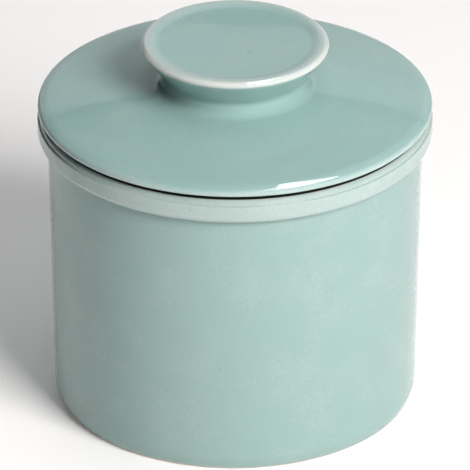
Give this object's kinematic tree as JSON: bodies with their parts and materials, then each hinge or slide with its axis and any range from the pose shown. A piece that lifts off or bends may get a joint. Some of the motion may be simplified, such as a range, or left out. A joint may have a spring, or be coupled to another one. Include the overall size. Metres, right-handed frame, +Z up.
{
  "type": "butter crock",
  "caption": "Round glazed stoneware butter crock: a collared water pot and a domed lid with a flared, dished knob and an open butter cup hanging under it.",
  "frame": {"origin": "on the turning axis, level with the surface that the foot ring stands on", "axes": "+Z up along the turning axis; the crock is round, so +X and +Y are free choices and -Y is taken as the front"},
  "size_m": [0.1084, 0.1084, 0.1065],
  "materials": {
    "celadon_glaze": "glossy blue-green celadon glaze on pale stoneware, thin and whitish on rims, deeper where it pools, with a bare foot ring",
    "luting_slip": "fired pale clay slip, smoothed into the corners and glazed over where it shows"
  },
  "bodies": {
    "crock": {"crock_pot": "celadon_glaze"},
    "lid": {"lid_cover": "celadon_glaze", "lid_knob": "celadon_glaze", "knob_luting_slip": "luting_slip", "butter_cup": "celadon_glaze", "cup_luting_slip": "luting_slip"}
  },
  "joints": [
    {"name": "lid_lift", "type": "slide", "parent": "crock", "child": "lid", "axis": [0, 0, 1], "range_m": [0, 0.085]}
  ]
}
